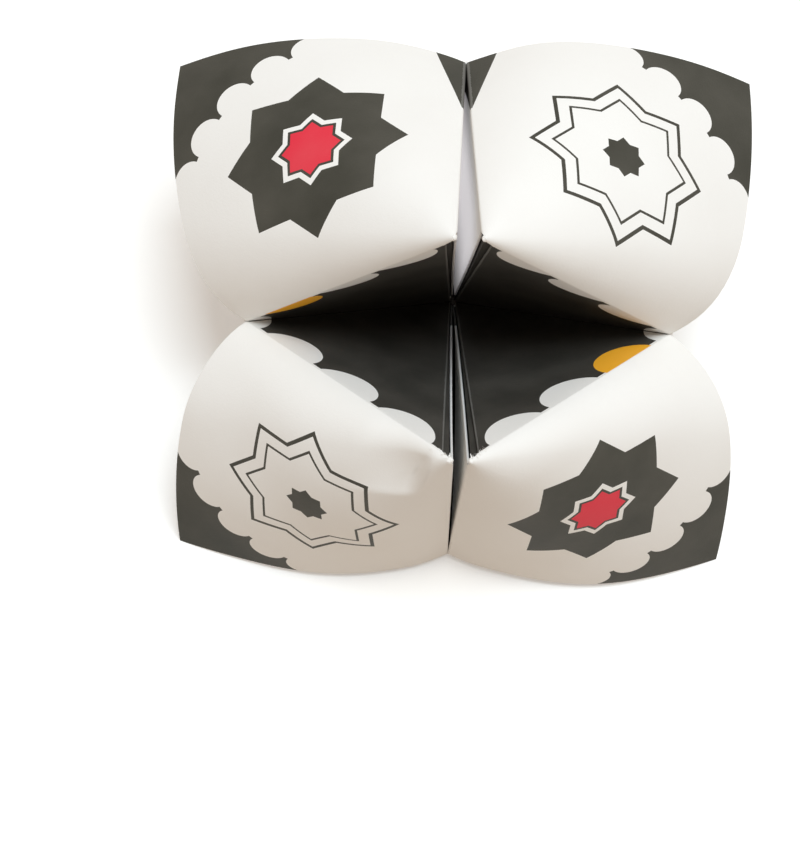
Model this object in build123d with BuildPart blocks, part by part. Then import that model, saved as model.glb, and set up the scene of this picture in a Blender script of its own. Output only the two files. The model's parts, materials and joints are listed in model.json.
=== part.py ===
"""Paper fortune teller: one square sheet folded twice to its middle and opened into four pockets.

The sheet is folded corner to middle, turned over and folded corner to middle again. Each of the
four pockets is then a quarter of the sheet round one tip: a free square petal in front, two
ridged panels behind, and the halves of two folded flaps lying on those panels. The whole shape
follows from the sheet, its thickness and where the four tips stand, because every fold line
keeps its length. X is to the right and Y up when looking down into the open mouth.
"""
import os
from math import acos, atan2, cos, degrees, pi, radians, sin, sqrt

from build123d import *

os.makedirs("parts", exist_ok=True)

# Driving dimensions in millimetres
sheet_side = 210.0
paper = 0.2
ply_gap = 0.25
mouth_opening = 32.8
upper_tip_gap = 3.6
lower_tip_gap = 2.2
flap_setback_at_tip = 1.8
flap_setback_at_heart = 0.6
slit_width = 0.4
fold_inset = 0.02
petal_inset = 0.05
heart_allowance = 0.1
trim_allowance = 2.0

# A petal curls this many times tighter beside the mouth, over this much of its square corner
mouth_curl = 2.6
mouth_curl_degrees = 22.5

# The curl is found between none and this, by halving the range so many times
tightest_curl = 1.5
curl_halvings = 40

# Sizes that follow from them
leg = sheet_side / 4
stack = 3 * paper + ply_gap
fold_offset = 2 * paper + ply_gap / 2
fold_radius = fold_offset - fold_inset
petal_outside = fold_offset - petal_inset
heart_radius = stack + heart_allowance
square_corner = pi / 2
curl_sectors = (
    (mouth_curl, radians(mouth_curl_degrees)),
    (1, square_corner - radians(mouth_curl_degrees)),
)

heart = Vector(0, 0, 0)
UP = Vector(0, 0, 1)


def tip_at(x, y):
    """A tip stands one panel diagonal from the heart."""
    return Vector(x, y, sqrt(2 * leg**2 - x**2 - y**2))


def hinge_between(tip_a, tip_b, outward):
    """The point one leg from the heart and from both tips, on the outer side."""
    across = tip_a.cross(tip_b)
    share = leg**2 / (2 * leg**2 + tip_a.dot(tip_b))
    middle = (tip_a + tip_b) * share
    rise = sqrt(leg**2 - middle.length**2)
    side = 1 if across.dot(outward) > 0 else -1
    return middle + across.normalized() * (rise * side)


tips = {
    "upper_left": tip_at(-upper_tip_gap / 2, mouth_opening / 2),
    "upper_right": tip_at(upper_tip_gap / 2, mouth_opening / 2),
    "lower_left": tip_at(-lower_tip_gap / 2, -mouth_opening / 2),
    "lower_right": tip_at(lower_tip_gap / 2, -mouth_opening / 2),
}

# Each hinge is the valley crease between two tips
vanes = {
    "left": ("upper_left", "lower_left", Vector(-1, 0, 0)),
    "right": ("upper_right", "lower_right", Vector(1, 0, 0)),
    "top": ("upper_left", "upper_right", Vector(0, 1, 0)),
    "bottom": ("lower_left", "lower_right", Vector(0, -1, 0)),
}
hinges = {name: hinge_between(tips[a], tips[b], out) for name, (a, b, out) in vanes.items()}

# Each quarter has a tip and the two hinges beside it
quarters = {
    "upper_left": ("left", "top"),
    "upper_right": ("right", "top"),
    "lower_left": ("left", "bottom"),
    "lower_right": ("right", "bottom"),
}


def other_hinge(quarter, hinge):
    """The second hinge of a quarter."""
    first, second = quarters[quarter]
    return second if hinge == first else first


def pocket_normal(quarter, hinge):
    """Unit normal of the panel between heart, tip and hinge, pointing into the pocket."""
    normal = tips[quarter].cross(hinges[hinge]).normalized()
    inward = hinges[other_hinge(quarter, hinge)]
    return normal if normal.dot(inward) > 0 else normal * -1


def band_outline(half_angle, inner, outer, length):
    """Section of one ply that is folded round the crease, between two offsets from it."""
    leg_out = Vector(cos(half_angle), sin(half_angle))
    normal_out = Vector(-sin(half_angle), cos(half_angle))
    leg_back = Vector(cos(half_angle), -sin(half_angle))
    normal_back = Vector(-sin(half_angle), -cos(half_angle))
    with BuildSketch() as band:
        with BuildLine():
            Line(leg_out * length + normal_out * inner, normal_out * inner)
            ThreePointArc(normal_out * inner, Vector(-inner, 0), normal_back * inner)
            Line(normal_back * inner, leg_back * length + normal_back * inner)
            Line(leg_back * length + normal_back * inner, leg_back * length + normal_back * outer)
            Line(leg_back * length + normal_back * outer, normal_back * outer)
            ThreePointArc(normal_back * outer, Vector(-outer, 0), normal_out * outer)
            Line(normal_out * outer, leg_out * length + normal_out * outer)
            Line(leg_out * length + normal_out * outer, leg_out * length + normal_out * inner)
        make_face()
    return band.sketch


def top_ply_outline(half_angle, side, length):
    """Section of the top ply on one side of the crease, which stops short of it at its raw edge."""
    along = Vector(cos(half_angle), side * sin(half_angle))
    normal = Vector(-sin(half_angle), side * cos(half_angle))
    start = along * (slit_width / 2)
    end = along * length
    with BuildSketch() as ply:
        with BuildLine():
            Polyline(start, end, end + normal * paper, start + normal * paper, close=True)
        make_face()
    return ply.sketch


def section_plane(hinge):
    """Plane across a crease, with its X half way between the two panels."""
    tip_a, tip_b, _ = vanes[hinge]
    middle = (tips[tip_a] + tips[tip_b]) * 0.5 - hinges[hinge]
    return Plane(origin=heart, x_dir=middle.normalized(), z_dir=hinges[hinge].normalized())


def half_opening(hinge):
    """Half the angle between the two panels at a crease."""
    tip_a, tip_b, _ = vanes[hinge]
    arm_a = (tips[tip_a] - hinges[hinge]).normalized()
    arm_b = (tips[tip_b] - hinges[hinge]).normalized()
    return acos(arm_a.dot(arm_b)) / 2


def flap_edge_plane(quarter, hinge):
    """Plane of a flap's folded edge, set back from the ridge between heart and tip."""
    tip = tips[quarter]
    inward = (hinges[hinge] - tip * 0.5).normalized()
    near_heart = heart + inward * flap_setback_at_heart
    near_tip = tip + inward * flap_setback_at_tip
    facing = (near_tip - near_heart).cross(pocket_normal(quarter, hinge))
    if facing.dot(inward) < 0:
        facing = facing * -1
    return Plane(origin=near_heart, z_dir=facing)


def ridge_plane(quarter, hinge):
    """Mirror plane of a quarter, where its two panels meet at the ridge."""
    return Plane(origin=heart, z_dir=hinges[hinge] - hinges[other_hinge(quarter, hinge)])


def flap(hinge):
    """A triangular flap of two plies, creased down its middle: the slit upper ply and the one under it."""
    tip_a, tip_b, _ = vanes[hinge]
    length = leg + trim_allowance
    with BuildPart() as folded_flap:
        with BuildSketch(section_plane(hinge)):
            add(band_outline(half_opening(hinge), paper, 2 * paper, length))
            for side in (-1, 1):
                add(top_ply_outline(half_opening(hinge), side, length))
        extrude(amount=leg)
        for quarter in (tip_a, tip_b):
            split(bisect_by=flap_edge_plane(quarter, hinge), keep=Keep.TOP)
    return folded_flap.part


def panel_pair(hinge):
    """The two panels that join at a crease, behind the flap."""
    tip_a, tip_b, _ = vanes[hinge]
    with BuildPart() as panels:
        with BuildSketch(section_plane(hinge)):
            add(band_outline(half_opening(hinge), 2 * paper + ply_gap, stack, leg + trim_allowance))
        extrude(amount=leg)
        for quarter in (tip_a, tip_b):
            split(bisect_by=ridge_plane(quarter, hinge), keep=Keep.TOP)
    return panels.part


def petal_apex(quarter):
    """Where the middle lines of a quarter's two front folds meet, just behind its tip."""
    first, second = quarters[quarter]
    normal_a = pocket_normal(quarter, first)
    normal_b = pocket_normal(quarter, second)
    edge = (hinges[first] - tips[quarter]).normalized()
    run = fold_offset * (1 - normal_a.dot(normal_b)) / edge.dot(normal_b)
    return tips[quarter] + normal_a * fold_offset + edge * run


def fold_end(quarter, hinge):
    """Middle of a front fold where it reaches the hinge."""
    return hinges[hinge] + pocket_normal(quarter, hinge) * fold_offset


def front_fold(quarter, hinge):
    """The rounded bundle of plies at a front fold, from the tip to the hinge."""
    start = petal_apex(quarter)
    run = fold_end(quarter, hinge) - start
    with BuildPart() as fold:
        with BuildSketch(Plane(origin=start, z_dir=run)):
            Circle(fold_radius)
        extrude(amount=run.length)
    return fold.part


def carried_round(frame, curl, angle, sense=1):
    """A ray, its sideways and its inward vector, carried round a cone by an angle on the flat sheet.

    Rolled to a curl, the sheet turns about the axis ray * curl + inward.
    """
    ray, _, inward = frame
    axis = Axis(heart, ray * curl + inward)
    turn = degrees(angle) * sqrt(1 + curl**2) * sense
    return [vector.rotate(axis, turn) for vector in frame]


def carried_along(frame, curl, angle, sense=1):
    """The frame carried over as much of a petal's two sectors as an angle takes up."""
    for tightness, sector in curl_sectors:
        used = min(angle, sector)
        frame = carried_round(frame, curl * tightness, used, sense)
        angle = angle - used
    return frame


def last_ray(curl):
    """Where a petal ends that starts along X and curls towards Z."""
    start = [Vector(1, 0, 0), Vector(0, 1, 0), Vector(0, 0, 1)]
    return carried_along(start, curl, square_corner)[0]


def curl_for(spread):
    """The curl that leaves a petal's two folds this angle apart."""
    low = 0
    high = tightest_curl
    for _ in range(curl_halvings):
        middle = (low + high) / 2
        if last_ray(middle).X < cos(spread):
            low = middle
        else:
            high = middle
    return (low + high) / 2


def petal_start(quarter):
    """A petal's curl, the sense of its turn, and its frame at the fold beside the mouth."""
    first, second = quarters[quarter]
    edge_a = (hinges[first] - tips[quarter]).normalized()
    edge_b = (hinges[second] - tips[quarter]).normalized()
    spread = acos(edge_a.dot(edge_b))
    curl = curl_for(spread)
    twist = atan2(last_ray(curl).Z, last_ray(curl).Y)
    square = (edge_b - edge_a * cos(spread)).normalized()
    sense = 1 if edge_a.cross(square).dot(tips[quarter]) < 0 else -1
    behind = edge_a.cross(square) * sense
    sideways = square * cos(twist) - behind * sin(twist)
    inward = square * sin(twist) + behind * cos(twist)
    return curl, sense, [edge_a, sideways, inward]


def cone_sector(apex, frame, curl, angle, sense, reach):
    """One ply swept round a cone from the frame's ray, over an angle on the flat sheet."""
    ray, _, inward = frame
    axis = (ray * curl + inward).normalized()
    radial = (ray - axis * ray.dot(axis)).normalized()
    along = Vector(ray.dot(radial), ray.dot(axis))
    normal = Vector(along.Y, -along.X)
    inside = normal * (petal_outside - paper)
    outside = normal * petal_outside
    with BuildPart() as sector:
        with BuildSketch(Plane(origin=apex, x_dir=radial, z_dir=radial.cross(axis))):
            with BuildLine():
                Polyline(inside, outside, outside + along * reach, inside + along * reach, close=True)
            make_face()
        revolve(axis=Axis(apex, axis * sense), revolution_arc=degrees(angle) * sqrt(1 + curl**2))
    return sector.part


def raw_edge_plane(start, middle, corner, apex):
    """Plane through three points of a raw edge, facing the apex."""
    facing = (middle - start).cross(corner - start)
    if facing.dot(apex - start) < 0:
        facing = facing * -1
    return Plane(origin=start, z_dir=facing)


def petal(quarter):
    """A free square corner of the sheet, curled about its tip and cut at its two raw edges.

    It is two cone sectors that run smoothly into each other, with the tighter one at the mouth.
    """
    apex = petal_apex(quarter)
    side = (fold_end(quarter, quarters[quarter][0]) - apex).length
    reach = sqrt(2) * side + trim_allowance
    curl, sense, first_frame = petal_start(quarter)

    def on_raw_edge(angle, from_fold):
        """Point of a raw edge at an angle on the flat sheet, and at an angle from the fold it meets."""
        ray = carried_along(first_frame, curl, angle, sense)[0]
        return apex + ray * (side / cos(from_fold))

    half = square_corner / 2
    quarter_way = half / 2
    corner = on_raw_edge(half, half)
    first_middle = on_raw_edge(quarter_way, quarter_way)
    second_middle = on_raw_edge(square_corner - quarter_way, quarter_way)
    frame = first_frame
    with BuildPart() as curled:
        for tightness, angle in curl_sectors:
            add(cone_sector(apex, frame, curl * tightness, angle, sense, reach))
            frame = carried_round(frame, curl * tightness, angle, sense)
        split(
            bisect_by=raw_edge_plane(on_raw_edge(0, 0), first_middle, corner, apex),
            keep=Keep.TOP,
        )
        split(
            bisect_by=raw_edge_plane(on_raw_edge(square_corner, 0), second_middle, corner, apex),
            keep=Keep.TOP,
        )
    return curled.part


def rounded_point(centre, radius):
    """The small ball of crumpled plies where folds meet."""
    with BuildPart() as knot:
        with Locations(centre):
            Sphere(radius)
    return knot.part


def free_corner(quarter):
    """Outermost point of a petal's free corner."""
    return petal(quarter).vertices().sort_by_distance(tips[quarter])[-1].center()


def resting_plane(corner_a, corner_b):
    """Plane of the table under the heart and two free corners, facing up."""
    beside = (corner_b - corner_a).normalized()
    toward = corner_a - beside * corner_a.dot(beside)
    sink = heart_radius / toward.length
    across = toward.normalized()
    level = across.cross(beside)
    if level.dot(UP) < 0:
        level = level * -1
    normal = level * sqrt(1 - sink**2) - across * sink
    return Plane(origin=heart - normal * heart_radius, x_dir=beside, z_dir=normal)


with BuildPart() as opened:
    for hinge in hinges:
        add(flap(hinge))
        add(panel_pair(hinge))
    for quarter, (first, second) in quarters.items():
        add(petal(quarter))
        add(front_fold(quarter, first))
        add(front_fold(quarter, second))
        add(rounded_point(petal_apex(quarter), fold_offset))
    add(rounded_point(heart, heart_radius))

# Let go of, it leans over until it lies on its heart and the two lower free corners
table = resting_plane(free_corner("lower_left"), free_corner("lower_right"))
resting = table.to_local_coords(opened.part)
box = resting.bounding_box()

with BuildPart() as fortune_teller:
    add(resting.moved(Location((-box.center().X, -box.center().Y, -box.min.Z))))

fortune_teller.part.label = "fortune_teller"
export_step(fortune_teller.part, "parts/fortune_teller.step")
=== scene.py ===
"""Looks of an opened paper fortune teller, folded from one printed square sheet.

Every point of the sheet is a function of its place on the flat sheet and of the few sizes that
the fold follows from. Lengths are in metres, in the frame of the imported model. A leg is a
quarter of the sheet's side. A flat place is in legs from the sheet's middle, so a quarter's tip
is one leg across and one up or down, and its petal's free corner is two and two.
"""

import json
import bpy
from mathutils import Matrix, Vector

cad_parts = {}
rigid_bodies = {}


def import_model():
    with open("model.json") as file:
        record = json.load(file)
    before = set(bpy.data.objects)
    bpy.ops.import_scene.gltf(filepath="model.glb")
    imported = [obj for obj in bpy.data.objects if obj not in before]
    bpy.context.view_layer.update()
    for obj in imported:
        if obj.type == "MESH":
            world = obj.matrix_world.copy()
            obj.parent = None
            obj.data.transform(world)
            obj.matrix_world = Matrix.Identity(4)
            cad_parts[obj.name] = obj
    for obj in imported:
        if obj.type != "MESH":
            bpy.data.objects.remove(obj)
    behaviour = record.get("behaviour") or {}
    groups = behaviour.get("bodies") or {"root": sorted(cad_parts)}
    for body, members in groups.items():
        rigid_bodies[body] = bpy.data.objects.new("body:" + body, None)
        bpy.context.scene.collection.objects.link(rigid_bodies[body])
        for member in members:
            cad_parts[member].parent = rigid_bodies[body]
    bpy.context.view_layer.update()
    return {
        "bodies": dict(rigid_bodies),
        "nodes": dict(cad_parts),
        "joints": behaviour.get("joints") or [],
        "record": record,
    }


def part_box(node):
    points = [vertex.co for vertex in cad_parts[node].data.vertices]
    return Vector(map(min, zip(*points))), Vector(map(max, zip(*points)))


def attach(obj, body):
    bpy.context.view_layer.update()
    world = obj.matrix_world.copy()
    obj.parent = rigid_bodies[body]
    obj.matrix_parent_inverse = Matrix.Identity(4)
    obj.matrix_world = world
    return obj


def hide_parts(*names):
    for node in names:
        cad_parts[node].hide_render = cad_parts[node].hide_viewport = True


bl_info = {
    "name": "Paper Fortune Teller",
    "version": (1, 0, 0),
    "blender": (4, 5, 0),
    "location": "3D View > Sidebar > Folded Paper",
    "description": "Builds an opened fortune teller from one printed square sheet of paper",
    "category": "Add Mesh",
}

from math import acos, atan2, cos, pi, radians, sin, sqrt, tan

import bmesh
import bpy
import numpy as np
from bpy.props import FloatProperty, FloatVectorProperty, IntProperty, PointerProperty
from mathutils import Vector

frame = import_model()

NODE = "fortune_teller"
SHEET_MAP = "flat_sheet"

# Which quarter has its tip on which side, and the two hinges beside it
QUARTERS = {
    "upper_left": (-1, 1, "left", "top"),
    "upper_right": (1, 1, "right", "top"),
    "lower_left": (-1, -1, "left", "bottom"),
    "lower_right": (1, -1, "right", "bottom"),
}
# The two quarters beside each hinge, and the way it faces
HINGES = {
    "left": ("upper_left", "lower_left", (-1, 0, 0)),
    "right": ("upper_right", "lower_right", (1, 0, 0)),
    "top": ("upper_left", "upper_right", (0, 1, 0)),
    "bottom": ("lower_left", "lower_right", (0, -1, 0)),
}


def linear(hex_code):
    """A screen colour such as 45453d as scene linear red, green and blue."""
    shares = [int(hex_code[i:i + 2], 16) / 255 for i in (0, 2, 4)]
    return tuple(c / 12.92 if c <= 0.04045 else ((c + 0.055) / 1.055) ** 2.4 for c in shares)


def number(name, description, default, **options):
    """A number that a user may change."""
    return FloatProperty(name=name, description=description, default=default, **options)


def length(name, description, default):
    """A size in metres that a user may change."""
    options = {"min": 0.0, "precision": 5, "unit": "LENGTH", "subtype": "DISTANCE"}
    return number(name, description, default, **options)


def triple(name, description, default, **options):
    """Three numbers that a user may change."""
    options.update(name=name, description=description, default=default)
    return FloatVectorProperty(size=3, **options)


def point(name, description, default):
    """A place in metres that a user may change."""
    return triple(name, description, default, unit="LENGTH", subtype="TRANSLATION")


def colour(name, description, hex_code):
    """A colour that a user may change."""
    return triple(name, description, linear(hex_code), min=0.0, max=1.0, subtype="COLOR")


class FoldSettings(bpy.types.PropertyGroup):
    """Sizes of the sheet and of its fold. All but the leaf gap and the bow are the solid's too."""

    sheet_side: length("Sheet side", "Side of the flat square sheet", 0.21)
    paper: length("Paper", "Thickness of the paper", 0.0002)
    ply_gap: length("Ply gap", "Air between a flap and the panel behind it", 0.00025)
    leaf_gap: length("Leaf gap", "Air between the two plies of a flap", 0.00002)
    mouth_opening: length("Mouth opening", "From the upper tips to the lower tips", 0.0328)
    upper_tip_gap: length("Upper tip gap", "Between the two upper tips", 0.0036)
    lower_tip_gap: length("Lower tip gap", "Between the two lower tips", 0.0022)
    setback_at_tip: length("Setback at tip", "Flap edge to ridge, at the tip", 0.0018)
    setback_at_heart: length("Setback at heart", "Flap edge to ridge, at the heart", 0.0006)
    slit_width: length("Slit width", "Between the raw edges of two flaps", 0.0004)
    panel_bow: length("Panel bow", "How far a panel and its flap bow to the pocket", 0.0006)
    mouth_curl: number("Mouth curl", "How many times tighter a petal curls by the mouth", 2.6)
    mouth_curl_angle: number(
        "Mouth curl angle", "How much of a petal's corner curls tighter", radians(22.5),
        unit="ROTATION", subtype="ANGLE",
    )


class PrintSettings(bpy.types.PropertyGroup):
    """Colours of the paper and of what is printed on it."""

    paper_colour: colour("Paper", "Bare paper", "f4f2ee")
    # Charcoal is also painted as shade behind the slit between two flaps' raw edges
    charcoal: colour("Charcoal", "Ink of the petals", "2f2f26")
    # Black is also painted as shade in the lower seam slot and in the gap by the ridge
    black: colour("Black", "Ink of the flaps inside the mouth", "20201c")
    red: colour("Red", "Red ink", "e41a3a")
    yellow: colour("Yellow", "Yellow ink", "ffb40a")


class WearSettings(bpy.types.PropertyGroup):
    """How far the paper has left its ideal shape."""

    wave_height: length("Wave height", "Height of the slow waves in a petal", 0.00035)
    dent_depth: length("Dent depth", "Depth of the dent in the lower left petal", 0.0016)
    fray_count: IntProperty(
        name="Fray count", description="Loose fibres at each worn lower tip", default=34, min=0,
    )


class StageSettings(bpy.types.PropertyGroup):
    """The floor, the lamp, the sky and the place that the picture is taken from."""

    floor_reach: length("Floor reach", "From the floor's middle to its sides", 1.5)
    floor_colour: colour("Floor", "Colour of the floor", "f8f8f6")
    floor_bounce: colour("Floor bounce", "Light that the floor throws back", "d8cabb")
    lamp_place: point("Lamp place", "Where the soft lamp hangs", (0.1, 0.03, 0.74))
    lamp_target: point("Lamp target", "What the soft lamp faces", (0.0, 0.0, 0.03))
    lamp_size: length("Lamp size", "Side of the soft lamp", 0.3)
    lamp_colour: colour("Lamp colour", "Light of the soft lamp", "e9f6ff")
    lamp_power: number("Lamp power", "Power of the soft lamp", 4.0, unit="POWER")
    sky_colour: colour("Sky colour", "Even light all round", "fff0e2")
    sky_strength: number("Sky strength", "Brightness of the even light", 0.48)
    camera_place: point("Camera place", "Where the camera stands", (-0.0078, -0.0954, 0.2418))
    camera_turn: triple(
        "Camera turn", "How the camera is turned",
        (radians(19.24), radians(-0.17), radians(1.85)), subtype="EULER",
    )
    camera_lens: number("Camera lens", "Focal length in millimetres", 55.06, unit="CAMERA")


def unit(vectors):
    """Vectors at length one, along their last axis."""
    return vectors / np.linalg.norm(vectors, axis=-1, keepdims=True)


class Wall:
    """A flat panel between tip, hinge and heart.

    A place on it is the tip plus a way along the front fold, a way inward from that fold, and a
    height on the pocket's side.
    """

    def __init__(self, tip, hinge, other_hinge, leg):
        self.tip = tip
        self.hinge = hinge
        self.along = (hinge - tip) / leg
        self.inward = -hinge / leg
        normal = unit(np.cross(tip, hinge))
        self.pocket = normal * np.sign(normal @ other_hinge)

    def direction(self, parts):
        """World vectors from their shares along, inward and to the pocket."""
        axes = (self.along, self.inward, self.pocket)
        return sum(part[..., None] * axis for part, axis in zip(parts, axes))

    def place(self, parts):
        """World points from their ways along, inward and to the pocket."""
        return self.tip + self.direction(parts)


def turned(vectors, axis, angle):
    """Vectors turned about a unit axis by each of an array of angles.

    A vector becomes cos * vector + sin * (axis x vector) + (1 - cos) * its part along the axis.
    """
    angle = angle[..., None]
    square = np.cross(axis, vectors)
    share = vectors @ axis
    return np.cos(angle) * vectors + np.sin(angle) * square + (1 - np.cos(angle)) * share * axis


# The tightest curl that is looked for, and how often the range that holds it is halved
CURL_LIMIT, CURL_HALVINGS = 1.5, 60


class Curl:
    """A petal's shape: two cone sectors about an apex just behind its tip, joined smoothly.

    The apex is where the middle lines of the two front folds meet. A frame of three vectors, the
    ray, sideways and inward, starts at the fold beside the mouth. To reach the ray at a flat
    angle it turns about ray * curl + inward, by the angle times sqrt(1 + curl * curl), first
    over the tighter sector and then over the rest. The curl is the one that leaves the two folds
    their true spread.
    """

    def __init__(self, a, b, leg, fold_offset, sizes):
        run = fold_offset * (1 - a.pocket @ b.pocket) / (a.along @ b.pocket)
        self.apex = a.tip + a.pocket * fold_offset + a.along * run
        self.side = leg - run
        self.mouth_curl = sizes.mouth_curl
        self.mouth_angle = sizes.mouth_curl_angle
        self.sense = 1.0
        spread = acos(a.along @ b.along)
        low, high = 0.0, CURL_LIMIT
        for _ in range(CURL_HALVINGS):
            self.curl = (low + high) / 2
            self.start = np.eye(3)
            last = self.frames(np.array(pi / 2))[0]
            if last[0] < cos(spread):
                low = self.curl
            else:
                high = self.curl
        twist = atan2(last[2], last[1])
        square = unit(b.along - a.along * cos(spread))
        self.sense = -np.sign(np.cross(a.along, square) @ a.tip)
        behind = np.cross(a.along, square) * self.sense
        sideways = square * cos(twist) - behind * sin(twist)
        inward = square * sin(twist) + behind * cos(twist)
        self.start = np.stack([a.along, sideways, inward])

    def rolled(self, frame, curl, angle):
        """The three vectors of a frame, each turned by an array of flat angles."""
        axis = unit(frame[0] * curl + frame[2])
        turn = angle * sqrt(1 + curl * curl) * self.sense
        return [turned(vector, axis, turn) for vector in frame]

    def frames(self, angle):
        """The frame at each of an array of flat angles from the fold beside the mouth."""
        tight_curl = self.curl * self.mouth_curl
        tight = self.rolled(self.start, tight_curl, np.minimum(angle, self.mouth_angle))
        joint = self.rolled(self.start, tight_curl, np.array(self.mouth_angle))
        rest = self.rolled(joint, self.curl, np.maximum(angle - self.mouth_angle, 0))
        beyond = (angle > self.mouth_angle)[..., None]
        return [np.where(beyond, b, a) for a, b in zip(tight, rest)]

    def surface(self, angle, reach):
        """Point and printed-side normal, at a flat angle from the first fold and a reach."""
        ray, _, inward = self.frames(angle)
        return self.apex + ray * reach[..., None], -inward


class Fold:
    """The tips, hinges, panels and petals of the opened sheet, before it is laid down."""

    def __init__(self, sizes):
        self.sizes = sizes
        self.leg = sizes.sheet_side / 4
        self.stack = 3 * sizes.paper + sizes.ply_gap
        self.offset = 2 * sizes.paper + sizes.ply_gap / 2
        gaps = {1: sizes.upper_tip_gap, -1: sizes.lower_tip_gap}
        self.tips = {
            name: self.tip_at(side * gaps[level] / 2, level * sizes.mouth_opening / 2)
            for name, (side, level, _, _) in QUARTERS.items()
        }
        self.hinges = {
            name: self.hinge_between(self.tips[a], self.tips[b], np.array(outward, float))
            for name, (a, b, outward) in HINGES.items()
        }
        self.walls = {}
        self.curls = {}
        for name, (_, _, *hinges) in QUARTERS.items():
            a, b = (self.hinges[hinge] for hinge in hinges)
            pair = [Wall(self.tips[name], *ends, self.leg) for ends in ((a, b), (b, a))]
            self.walls[name] = pair
            self.curls[name] = Curl(*pair, self.leg, self.offset, sizes)

    def tip_at(self, x, y):
        """A tip stands one panel diagonal from the heart."""
        return np.array([x, y, sqrt(2 * self.leg**2 - x**2 - y**2)])

    def hinge_between(self, tip_a, tip_b, outward):
        """The outer point that is one leg from the heart and from both tips."""
        across = np.cross(tip_a, tip_b)
        middle = (tip_a + tip_b) * self.leg**2 / (2 * self.leg**2 + tip_a @ tip_b)
        rise = sqrt(self.leg**2 - middle @ middle)
        return middle + unit(across) * rise * np.sign(across @ outward)


# How finely the sheet is divided: rows from each tip to the hinges, crowded toward the tip, and
# columns of half a petal, and of the outer fold, the flap's top ply, its folded edge, its under
# ply, the inner fold and the base ply
ROWS, ROW_CROWDING = 68, 1.25
PETAL_COLUMNS = 30
STRIP_COLUMNS = (8, 10, 6, 5, 6, 8)
CREASE_STEPS = 14
UNDER_FIRST_COLUMN = sum(STRIP_COLUMNS[:3])
END_COLUMN = sum(STRIP_COLUMNS) + 1


def shares(count):
    """Shares from 0 to 1 across a strip, without the last, which the next strip starts with."""
    return np.linspace(0, 1, count + 1)[:-1]


def grid(across, down):
    """Two arrays, one column for each share across."""
    return np.meshgrid(across, down, indexing="ij")


def grid_quads(numbers):
    """Quads between the neighbours in a grid of point numbers."""
    corners = [numbers[:-1, :-1], numbers[1:, :-1], numbers[1:, 1:], numbers[:-1, 1:]]
    return np.stack(corners, -1).reshape(-1, 4)


def petal_half(fold, curl, index, down):
    """Half a petal, from its middle line to its first or second front fold.

    On the flat sheet a row lies one way along the fold, and its columns are shares of that way
    square to it: reach is the way over cos(angle), and the angle is the arc tangent of the share.
    """
    share, row = grid(1 - shares(PETAL_COLUMNS), down)
    angle = np.arctan(share)
    from_mouth = pi / 2 - angle if index else angle
    points, normals = curl.surface(from_mouth, row * curl.side / np.cos(angle))
    points = points + normals * (fold.offset - fold.sizes.paper / 2)
    return np.concatenate([points, normals, np.stack([row, share * row], -1)], -1)


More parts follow.
